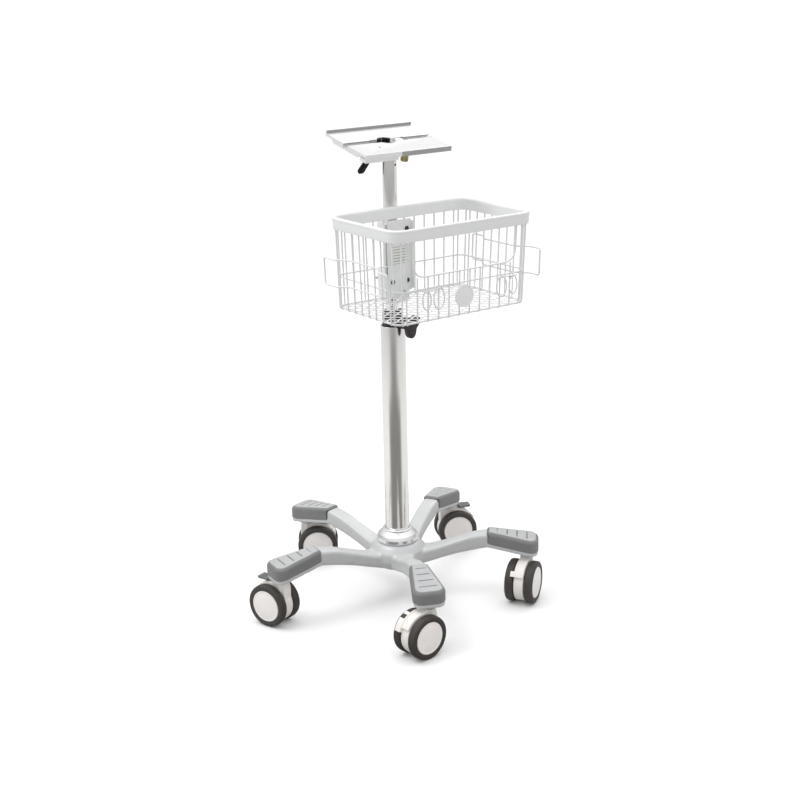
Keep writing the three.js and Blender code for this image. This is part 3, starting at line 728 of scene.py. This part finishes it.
DECK_TILT, DECK_Z, DECK_W = 13.0, 1022.0, 214.0
on_deck = [shift(z=DECK_Z), turn("X", DECK_TILT)]
profile = [
    (-75, 2), (-75, -9), (-71.5, -9), (-71.5, -5), (-52, -5), (-44, -12), (44, -12), (52, -5),
    (75, -5), (75, 7), (71, 7), (71, 0), (7.5, 0), (7.5, -2.5), (9.5, -2.5), (9.5, -7.5),
    (-9.5, -7.5), (-9.5, -2.5), (-7.5, -2.5), (-7.5, 0), (-71.5, 0), (-71.5, 2),
]
radii = [0.8, 0.8, 0.8, 1, 4, 4, 4, 4, 1.2, 1.2, 1.2, 1.5, 0.6, 0.4, 0.5, 0.6, 0.6, 0.5, 0.4,
         0.6, 0.8, 0.8]
slab = prism(rounded(profile, radii, 3), -DECK_W / 2, DECK_W / 2)
slab = slab.moved(Matrix(((0, 0, 1, 0), (1, 0, 0, 0), (0, 1, 0, 0), (0, 0, 0, 1))))
PIVOT_Z = 1001.0
PIVOT_DROP = (PIVOT_Z - DECK_Z) * math.cos(math.radians(DECK_TILT))
PIVOT_BACK = (PIVOT_Z - DECK_Z) * math.sin(math.radians(DECK_TILT))
at_pivot = [shift(0, PIVOT_BACK, PIVOT_DROP), turn("Y", 90)]
at_recess, at_plunger, at_screw = shift(-6), shift(46), shift(-46, -34)
STUD_BORE = 4.3
lug = block(-10.5, 10.5, PIVOT_BACK - 5.6, PIVOT_BACK + 5.6, PIVOT_DROP, -11)
lug_eye = rod(5.6, -10.5, 10.5).moved(*at_pivot)
carriage = block(-106, -24, -74.6, -52, -15.5, -8.6, 1.0, 2)
slab = united(slab, united(lug, lug_eye), carriage)
cuts = [
    block(-42, 42, -9.55, 9.55, -7.45, 4), rod(20, -10, 4, segments=64).moved(at_recess),
    rod(STUD_BORE, -32, 6, segments=24).moved(at_plunger),
    rod(2.8, -20, 6, segments=24).moved(at_screw),
    rod(STUD_BORE, -30, 30, segments=24).moved(*at_pivot),
]
slab = carved(slab, *cuts)
piece("dock_plate", slab.moved(*on_deck), "aluminium", "platform", ["docking_platform"],
      sharp=32, bevel=0.4)
peg = turned([(0, -7.4), (9, -7.4), (9, -0.5), (2.4, -0.5), (2.4, -3), (0, -3)], 0.5,
             48).moved(shift(26))
piece("dock_peg", peg.moved(*on_deck), "aluminium", "platform", sharp=40)


def arc_band(r0, r1, z0, z1, a0, a1, steps=14):
    """Curved bar from angle a0 to a1, between two radii and two heights."""
    rings = []
    for k in range(steps + 1):
        c, s = polar(1, a0 + (a1 - a0) * k / steps)
        rings.append([(r * c, r * s, z) for r, z in ((r0, z0), (r1, z0), (r1, z1), (r0, z1))])
    return loft(rings)


# black arcs lining the back of the round recess: painted shade where the undercut wall is in shadow
recess_shade_arcs = arc_band(15.5, 19.8, -9.9, -1.6, 32, 82) + arc_band(15.5, 19.8, -9.9, -1.6, 98, 148)
piece("dock_recess_painted_shade", recess_shade_arcs.moved(*on_deck, at_recess), "black_plastic", "platform",
      sharp=30, bevel=0.3)
screw = turned([(0, -15.4), (4.2, -15.4), (4.5, -14.6), (4.5, -12.3), (2.5, -12.3), (2.5, -1.5),
                (0, -1.5)], 0.3)
screw = carved(screw, prism(circle(2.3, 6), -17, -13.6))
piece("platform_screw_head", screw.moved(*on_deck, at_screw), "dark_plastic", "platform",
      ["platform_screw"])
sleeve = turned([(4.4, -31), (6.0, -31), (6.5, -30.2), (6.5, -17), (7.6, -16.4), (7.6, -12.4),
                 (4.4, -12.4)], 0.3)
piece("plunger_housing", sleeve.moved(*on_deck, at_plunger), "aluminium", "platform",
      ["plunger_sleeve"], sharp=35)
knurled = []
for r, z, cut in ((6.8, -50, 0), (7.6, -49.3, 0.5), (8, -48.6, 1), (8, -36.6, 1), (7.6, -35.6, 0.5),
                  (6.4, -34.4, 0)):
    knurled.append([(*polar(r + 0.34 * cut * (1 if k % 2 else -1), 360 * k / 56), z)
                    for k in range(56)])
knob = united(loft(knurled), rod(4, -36, -6.6, 0.4, 28))
piece("plunger_knob", knob.moved(*on_deck, at_plunger), "brass", "plunger", ["plunger"], sharp=20)

lever_hub = carved(rod(7.4, -48, -33.2, 1.2, 40),
                   rod(STUD_BORE, -43.3, -30, segments=24)).moved(turn("Y", 90))
arm_rings = []
for z, half_x, half_y in ((-4, 7.2, 4.0), (-14, 7.2, 4.2), (-30, 6.8, 4.4), (-50, 7.0, 5.0),
                          (-62, 7.3, 5.3), (-67, 6.6, 4.6), (-70, 4.4, 2.8)):
    plan = rectangle(-half_x, half_x, -half_y, half_y, min(half_x, half_y) * 0.75, 5)
    arm_rings.append([(p.x - 39.6, p.y, z) for p in plan])
lever = united(lever_hub, loft(arm_rings).moved(turn("X", 46.7)))
piece("tilt_lever_handle", lever.moved(shift(z=PIVOT_Z)), "black_plastic", "tilt_lever",
      ["tilt_lever"], sharp=40)

# thin grey sheets on the deck's front edge face and on the inner face of the back lip: painted
# shade where these faces lie in shadow
lip_shade_sheets = (block(-18, 106.6, -75.5, -75.03, -8.6, 1.4, 0.1)
         + block(-106.6, 106.6, 70.5, 70.97, 0.4, 6.6, 0.1))
piece("dock_lip_painted_shade", lip_shade_sheets.moved(*on_deck), "painted_shade_grey", "platform", sharp=30)
# thin grey sheets lining the slot and pocket walls: painted shade for the shadow lines in the slots
edges = summed(block(x0, x1, y0, y1, -2.3, 0.15, 0.1)
               for x0, x1 in ((-106.4, -43), (43, 106.4))
               for y0, y1 in ((-7.45, -6.4), (6.4, 7.45)))
edges += summed(block(x0, x1, y0, y1, -7.2, 0.15, 0.1)
                for x0, x1 in ((-41.5, -25), (36, 41.5)) for y0, y1 in ((-9.5, -8.2), (8.2, 9.5)))
piece("dock_slot_painted_shade", edges.moved(*on_deck), "painted_shade_grey", "platform", sharp=30)

# ---------------------------------------------------------------- casters
TRAIL, WHEEL_R = 25.0, 47.5
CHEEK = 11.4  # half the width of the fork between the wheels
YAWS = [-84, -57, -113, -123, -161]
SIDES = [-1, -1, 1, 1, -1]
axle = shift(TRAIL, 0, WHEEL_R)
on_axle = [axle, turn("X", -90)]
drum = prism(circle(43.6), -CHEEK, CHEEK, 2.0).moved(*on_axle)
neck_side = [(-15, 58), (-15, 88), (-12, 99), (12, 102), (24, 97), (46, 84), (40, 60)]
neck = prism(rounded(neck_side, 5, 4)[::-1], -CHEEK, CHEEK, 3).moved(turn("X", 90))
crown = prism(circle(50), -CHEEK, CHEEK, 2.0).moved(*on_axle)
crown = combined(crown, block(-10, 80, -30, 30, 72, 130), "INTERSECT")
socket = rod(13.2, 70, 105.6, 2.5)
housing = fused(drum + neck + crown + socket, 1.3, 3)
nib = arc_band(48.2, 50.8, -18.4, -9, -45, -31, 6)
hood = arc_band(48.9, 51.4, -24, -9, -52, -19, 12) + arc_band(48.9, 51.4, -24, -9, -73, -64, 4)
hood += arc_band(42, 51.3, -12.2, -9.1, -105, -19, 30)
stem = turned([(0, 101), (6, 101), (6, 128.6), (0, 128.6)], 0.5, 32)
washer = turned([(6.3, 104.4), (16, 104.4), (16, 108.4), (6.3, 108.4)], 0.8, 48)
tyre_line = [(35.8, 13.2), (43, 12.9), (46.2, 14.2), (47.4, 17.5), (47.4, 26.5), (46.4, 30.2),
             (43.4, 31.9), (37.4, 31.9), (35.8, 30.8)]
tyre = turned(tyre_line, 1.3, 96, 4)
tread = turned([(47.2, 21.6), (47.5, 21.9), (47.5, 22.6), (47.2, 22.9)], 0.1, 96)
disc_line = [(0, 13), (35.2, 13), (35.2, 29.8), (34.6, 31.2), (32.6, 31.7), (31.2, 31.1),
             (29.6, 31.2), (20, 32.2), (0, 32.8)]
disc = turned(disc_line, 0.5, 96, 3)
pedal_line = [(-2.6, -1.8), (22, -2.2), (25.2, -0.6), (27, 2.6), (26, 3.8), (22.6, 1.7), (2.6, 1.9),
              (0, 3.0), (-2.6, 1.6)]
pedal = prism(rounded(pedal_line, 0.8, 3), -12, 12, 0.8, 2).moved(turn("X", 90))
ribs = summed(block(x, x + 1.4, -9, 9, 1.4, 2.6, 0.3) for x in (8, 12, 16, 20))
pedal = united(pedal, ribs).moved(shift(34, 0, 101.8), turn("Y", 2))
for i, angle in enumerate(LEG_ANGLES):
    name = f"caster_{i + 1}"
    spot = [shift(*polar(SWIVEL_R, angle)), turn("Z", YAWS[i] + 90 * SIDES[i])]
    body = housing + washer + (hood if i == 0 else nib).moved(*on_axle)
    piece(f"{name}_housing", body.moved(*spot), "white_plastic", name, [f"{name}_fork"], sharp=50)
    piece(f"{name}_stem", stem.moved(*spot), "steel", name)
    for tag, flip in (("a", 0), ("b", 180)):
        rim = [*spot, axle, turn("X", -90 + flip)]
        rider = f"{name}_wheel_{tag}"
        piece(f"{name}_tyre_{tag}", (tyre + tread).moved(*rim), "wheel", rider, [rider], sharp=60)
        piece(f"{name}_disc_{tag}", disc.moved(*rim), "hub", rider, sharp=50)
    if i >= 2:
        piece(f"{name}_pedal_plate", pedal.moved(*spot), "leg_cover", f"{name}_pedal",
              [f"{name}_pedal"], sharp=35)

# ---------------------------------------------------------------- studio
CAM_HEIGHT, CAM_ASIDE, CAM_DISTANCE = 0.4398, 0.0115, 3.0722
CAM_AZ, CAM_EL, CAM_ROLL = (math.radians(a) for a in (-35.3, 17.9, -1.2))
right = Vector((math.cos(CAM_AZ), math.sin(CAM_AZ), 0))
back = Vector((math.sin(CAM_AZ) * math.cos(CAM_EL), -math.cos(CAM_AZ) * math.cos(CAM_EL),
               math.sin(CAM_EL)))
up = back.cross(right)
cam_x = right * math.cos(CAM_ROLL) + up * math.sin(CAM_ROLL)
cam_y = up * math.cos(CAM_ROLL) - right * math.sin(CAM_ROLL)
camera_data = bpy.data.cameras.new("camera")
camera_data.lens, camera_data.sensor_width, camera_data.shift_y = 63.26, 36.0, 0.0111
camera_data.clip_end = 200
camera = bpy.data.objects.new("camera", camera_data)
place = Matrix((cam_x, cam_y, back)).transposed().to_4x4()
place.translation = POLE + Vector((0, 0, CAM_HEIGHT)) + right * CAM_ASIDE + back * CAM_DISTANCE
camera.matrix_world = place
bpy.context.scene.collection.objects.link(camera)
bpy.context.scene.camera = camera
bpy.context.scene.view_settings.view_transform = "Standard"

flat_back = Vector((back.x, back.y, 0)).normalized()
floor_mat = material("studio_floor", (0.95, 0.95, 0.95), 0.9, tone=0.0, patch=0.8, grain=60,
                     bump=0.0, speculars=0.0)


def floor_shade(nodes, links):
    """Not a plain floor: white to camera rays; mid grey to diffuse rays, so it bounces less light
    onto the sides of things, which paints shade on them; and paler grey to reflections with a
    painted dark strip in them. The strip lies from the stand towards the main camera's side, fixed
    in the room, and is a painted reflection that gives the tubes their dark middle."""

    def vector_node(operation, a, value=None, output=0):
        node = nodes.new("ShaderNodeVectorMath")
        node.operation = operation
        links.new(a, node.inputs[0])
        if value:
            node.inputs[1].default_value = value
        return node.outputs[output]

    at = vector_node("SUBTRACT", nodes.new("ShaderNodeTexCoord").outputs["Object"], tuple(POLE))
    along = vector_node("DOT_PRODUCT", at, tuple(flat_back), 1)
    reach = vector_node("LENGTH", at, None, 1)
    narrower = spread(nodes, links, reach, 1.9, 2.7, 0, 0.31)
    heading = math_node(nodes, links, "DIVIDE", along, reach)
    heading = math_node(nodes, links, "SUBTRACT", heading, narrower)
    # painted dark strip, seen only in reflections: a painted reflection that darkens the middle of
    # the tubes
    painted_reflection_strip = spread(nodes, links, heading, 0.46, 0.72, 0, 1)
    mirrored = mix(nodes, links, painted_reflection_strip, (0.72, 0.72, 0.72), (0.2, 0.195, 0.185))
    ray = nodes.new("ShaderNodeLightPath").outputs
    # floor mid grey to diffuse rays: painted shade on the sides of things, which get less bounce
    bounced = mix(nodes, links, ray["Is Diffuse Ray"], mirrored, (0.52, 0.52, 0.52))
    pale = mix(nodes, links, ray["Is Camera Ray"], bounced, (0.97, 0.97, 0.97))
    links.new(pale, nodes["Principled BSDF"].inputs["Base Color"])


floor_shade(floor_mat.node_tree.nodes, floor_mat.node_tree.links)
floor_mesh = bpy.data.meshes.new("studio_floor")
floor_mesh.from_pydata([Vector((*polar(80, a), -0.0002)) for a in range(0, 360, 10)], [],
                       [tuple(range(36))])
floor_mesh.materials.append(floor_mat)
floor = bpy.data.objects.new("studio_floor", floor_mesh)
bpy.context.scene.collection.objects.link(floor)

world = bpy.data.worlds.new("studio")
world.use_nodes = True
bpy.context.scene.world = world


def studio_dome(nodes, links):
    """Soft white dome, brightest overhead, like a ceiling bounce."""
    height = nodes.new("ShaderNodeSeparateXYZ")
    links.new(nodes.new("ShaderNodeTexCoord").outputs["Generated"], height.inputs[0])
    glow = spread(nodes, links, height.outputs["Z"], 0, 1, 0.42, 1.42)
    links.new(glow, nodes["Background"].inputs["Strength"])
    nodes["Background"].inputs["Color"].default_value = (1, 1, 1, 1)


studio_dome(world.node_tree.nodes, world.node_tree.links)


def softbox(name, at, size, power, aim=(0, 0, 0.5)):
    light = bpy.data.lights.new(name, "AREA")
    light.shape, light.size, light.energy = "DISK", size, power
    ob = bpy.data.objects.new(name, light)
    ob.location = Vector(at)
    ob.rotation_euler = (Vector(at) - Vector(aim)).to_track_quat("Z", "Y").to_euler()
    bpy.context.scene.collection.objects.link(ob)


softbox("key", (-1.6, 0.6, 3.0), 1.6, 26)
softbox("fill", (2.2, 1.0, 2.6), 1.8, 10)
